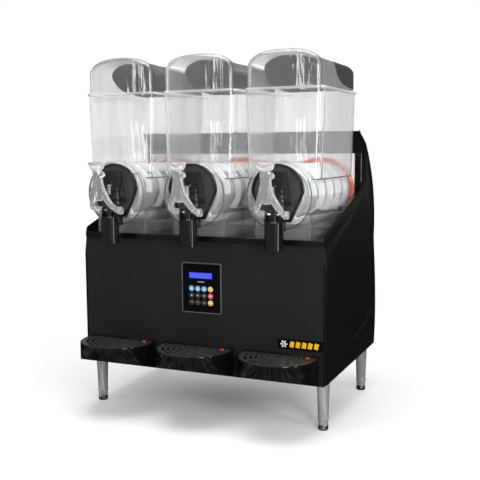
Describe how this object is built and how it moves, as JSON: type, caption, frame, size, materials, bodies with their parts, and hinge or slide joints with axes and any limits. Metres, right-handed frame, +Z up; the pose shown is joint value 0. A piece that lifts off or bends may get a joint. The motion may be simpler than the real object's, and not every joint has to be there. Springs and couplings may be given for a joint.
{
  "type": "slushie machine",
  "caption": "Countertop frozen-drink machine: clear bowls with domed lids, spiral augers and lever taps over a black case with drip trays, a keypad and tapered steel legs.",
  "frame": {"origin": "on the floor, under the middle of the machine's bounding box", "axes": "+X to the right of someone facing the taps, +Y into the machine, +Z up"},
  "size_m": [0.6, 0.5263, 0.812],
  "materials": {
    "case_black": "satin moulded plastic",
    "front_black": "semi-gloss powder coat",
    "deck_black": "gloss",
    "bulkhead_white": "satin",
    "leg_steel": "satin steel",
    "foot_steel": "turned",
    "bezel_grey": "satin grey",
    "keypad_black": "gloss film",
    "display_blue": "backlit display",
    "board_green": "circuit board",
    "pan_steel": "grey coat",
    "compressor_black": "gloss paint",
    "condenser_metal": "bare fins",
    "motor_metal": "grey paint",
    "fan_black": "matte",
    "inlet_black": "matte",
    "screw_steel": "plated",
    "drum_steel": "brushed",
    "seal_orange": "soft silicone",
    "gear_grey": "cast",
    "stud_steel": "turned",
    "bowl_clear": "clear polycarbonate",
    "lid_clear": "clear polycarbonate",
    "cap_black": "gloss",
    "tap_black": "gloss",
    "piston_black": "gloss",
    "handle_clear": "clear acrylic",
    "auger_white": "translucent white",
    "shaft_steel": "turned",
    "tray_black": "high gloss",
    "grille_black": "satin",
    "float_red": "gloss"
  },
  "bodies": {
    "chassis": {"base_pan": "pan_steel", "front_panel": "front_black", "rear_panel": "pan_steel", "top_deck": "deck_black", "side_panel_left": "case_black", "side_panel_right": "case_black", "rear_hood": "case_black", "evaporator_bulkhead": "bulkhead_white", "legs": "leg_steel", "leg_feet": "foot_steel", "control_bezel": "bezel_grey", "keypad_overlay": "keypad_black", "display": "display_blue", "control_board": "board_green", "compressor": "compressor_black", "condenser": "condenser_metal", "fan_motor": "motor_metal", "power_inlet": "inlet_black", "panel_screws": "screw_steel", "evaporator_drums": "drum_steel", "bowl_seals": "seal_orange", "gearmotors": "gear_grey", "tray_studs": "stud_steel"},
    "fan": {"fan_rotor": "fan_black"},
    "bowl_1": {"bowl_1": "bowl_clear", "tap_body_1": "tap_black"},
    "lid_1": {"lid_1": "lid_clear", "lid_cap_1": "cap_black"},
    "auger_1": {"auger_1": "auger_white", "drive_shaft_1": "shaft_steel"},
    "handle_1": {"tap_handle_1": "handle_clear", "handle_pin_1": "shaft_steel"},
    "piston_1": {"tap_piston_1": "piston_black"},
    "tray_1": {"drip_tray_1": "tray_black"},
    "grille_1": {"drip_grille_1": "grille_black"},
    "float_1": {"tray_float_1": "float_red"},
    "bowl_2": {"bowl_2": "bowl_clear", "tap_body_2": "tap_black"},
    "lid_2": {"lid_2": "lid_clear", "lid_cap_2": "cap_black"},
    "auger_2": {"auger_2": "auger_white", "drive_shaft_2": "shaft_steel"},
    "handle_2": {"tap_handle_2": "handle_clear", "handle_pin_2": "shaft_steel"},
    "piston_2": {"tap_piston_2": "piston_black"},
    "tray_2": {"drip_tray_2": "tray_black"},
    "grille_2": {"drip_grille_2": "grille_black"},
    "float_2": {"tray_float_2": "float_red"},
    "bowl_3": {"bowl_3": "bowl_clear", "tap_body_3": "tap_black"},
    "lid_3": {"lid_3": "lid_clear", "lid_cap_3": "cap_black"},
    "auger_3": {"auger_3": "auger_white", "drive_shaft_3": "shaft_steel"},
    "handle_3": {"tap_handle_3": "handle_clear", "handle_pin_3": "shaft_steel"},
    "piston_3": {"tap_piston_3": "piston_black"},
    "tray_3": {"drip_tray_3": "tray_black"},
    "grille_3": {"drip_grille_3": "grille_black"},
    "float_3": {"tray_float_3": "float_red"}
  },
  "joints": [
    {"name": "fan_spin", "type": "hinge", "parent": "chassis", "child": "fan", "pos_m": [-0.14, 0.15, 0.215], "axis": [0, 1, 0], "continuous": true},
    {"name": "bowl_pull_1", "type": "slide", "parent": "chassis", "child": "bowl_1", "axis": [0, -1, 0], "range_m": [0, 0.3]},
    {"name": "lid_lift_1", "type": "slide", "parent": "bowl_1", "child": "lid_1", "axis": [0, 0, 1], "range_m": [0, 0.12]},
    {"name": "auger_spin_1", "type": "hinge", "parent": "chassis", "child": "auger_1", "pos_m": [-0.197, 0, 0.507], "axis": [0, 1, 0], "continuous": true},
    {"name": "handle_tilt_1", "type": "hinge", "parent": "bowl_1", "child": "handle_1", "pos_m": [-0.197, -0.199, 0.47], "axis": [1, 0, 0], "range_deg": [0, 40], "stiffness_Nm_per_rad": 1.2, "springref_deg": -14.32},
    {"name": "piston_lift_1", "type": "slide", "parent": "bowl_1", "child": "piston_1", "axis": [0, 0, 1], "range_m": [0, 0.014]},
    {"name": "tray_pull_1", "type": "slide", "parent": "chassis", "child": "tray_1", "axis": [0, -1, 0], "range_m": [0, 0.12]},
    {"name": "grille_lift_1", "type": "slide", "parent": "tray_1", "child": "grille_1", "axis": [0, 0, 1], "range_m": [0, 0.05]},
    {"name": "float_rise_1", "type": "slide", "parent": "tray_1", "child": "float_1", "axis": [0, 0, 1], "range_m": [0, 0.008]},
    {"name": "bowl_pull_2", "type": "slide", "parent": "chassis", "child": "bowl_2", "axis": [0, -1, 0], "range_m": [0, 0.3]},
    {"name": "lid_lift_2", "type": "slide", "parent": "bowl_2", "child": "lid_2", "axis": [0, 0, 1], "range_m": [0, 0.12]},
    {"name": "auger_spin_2", "type": "hinge", "parent": "chassis", "child": "auger_2", "pos_m": [0, 0, 0.507], "axis": [0, 1, 0], "continuous": true},
    {"name": "handle_tilt_2", "type": "hinge", "parent": "bowl_2", "child": "handle_2", "pos_m": [0, -0.199, 0.47], "axis": [1, 0, 0], "range_deg": [0, 40], "stiffness_Nm_per_rad": 1.2, "springref_deg": -14.32},
    {"name": "piston_lift_2", "type": "slide", "parent": "bowl_2", "child": "piston_2", "axis": [0, 0, 1], "range_m": [0, 0.014]},
    {"name": "tray_pull_2", "type": "slide", "parent": "chassis", "child": "tray_2", "axis": [0, -1, 0], "range_m": [0, 0.12]},
    {"name": "grille_lift_2", "type": "slide", "parent": "tray_2", "child": "grille_2", "axis": [0, 0, 1], "range_m": [0, 0.05]},
    {"name": "float_rise_2", "type": "slide", "parent": "tray_2", "child": "float_2", "axis": [0, 0, 1], "range_m": [0, 0.008]},
    {"name": "bowl_pull_3", "type": "slide", "parent": "chassis", "child": "bowl_3", "axis": [0, -1, 0], "range_m": [0, 0.3]},
    {"name": "lid_lift_3", "type": "slide", "parent": "bowl_3", "child": "lid_3", "axis": [0, 0, 1], "range_m": [0, 0.12]},
    {"name": "auger_spin_3", "type": "hinge", "parent": "chassis", "child": "auger_3", "pos_m": [0.197, 0, 0.507], "axis": [0, 1, 0], "continuous": true},
    {"name": "handle_tilt_3", "type": "hinge", "parent": "bowl_3", "child": "handle_3", "pos_m": [0.197, -0.199, 0.47], "axis": [1, 0, 0], "range_deg": [0, 40], "stiffness_Nm_per_rad": 1.2, "springref_deg": -14.32},
    {"name": "piston_lift_3", "type": "slide", "parent": "bowl_3", "child": "piston_3", "axis": [0, 0, 1], "range_m": [0, 0.014]},
    {"name": "tray_pull_3", "type": "slide", "parent": "chassis", "child": "tray_3", "axis": [0, -1, 0], "range_m": [0, 0.12]},
    {"name": "grille_lift_3", "type": "slide", "parent": "tray_3", "child": "grille_3", "axis": [0, 0, 1], "range_m": [0, 0.05]},
    {"name": "float_rise_3", "type": "slide", "parent": "tray_3", "child": "float_3", "axis": [0, 0, 1], "range_m": [0, 0.008]}
  ],
  "couplings": [
    {"joint": "piston_lift_1", "follows": "handle_tilt_1", "m_per_rad": 0.02},
    {"joint": "piston_lift_2", "follows": "handle_tilt_2", "m_per_rad": 0.02},
    {"joint": "piston_lift_3", "follows": "handle_tilt_3", "m_per_rad": 0.02}
  ]
}
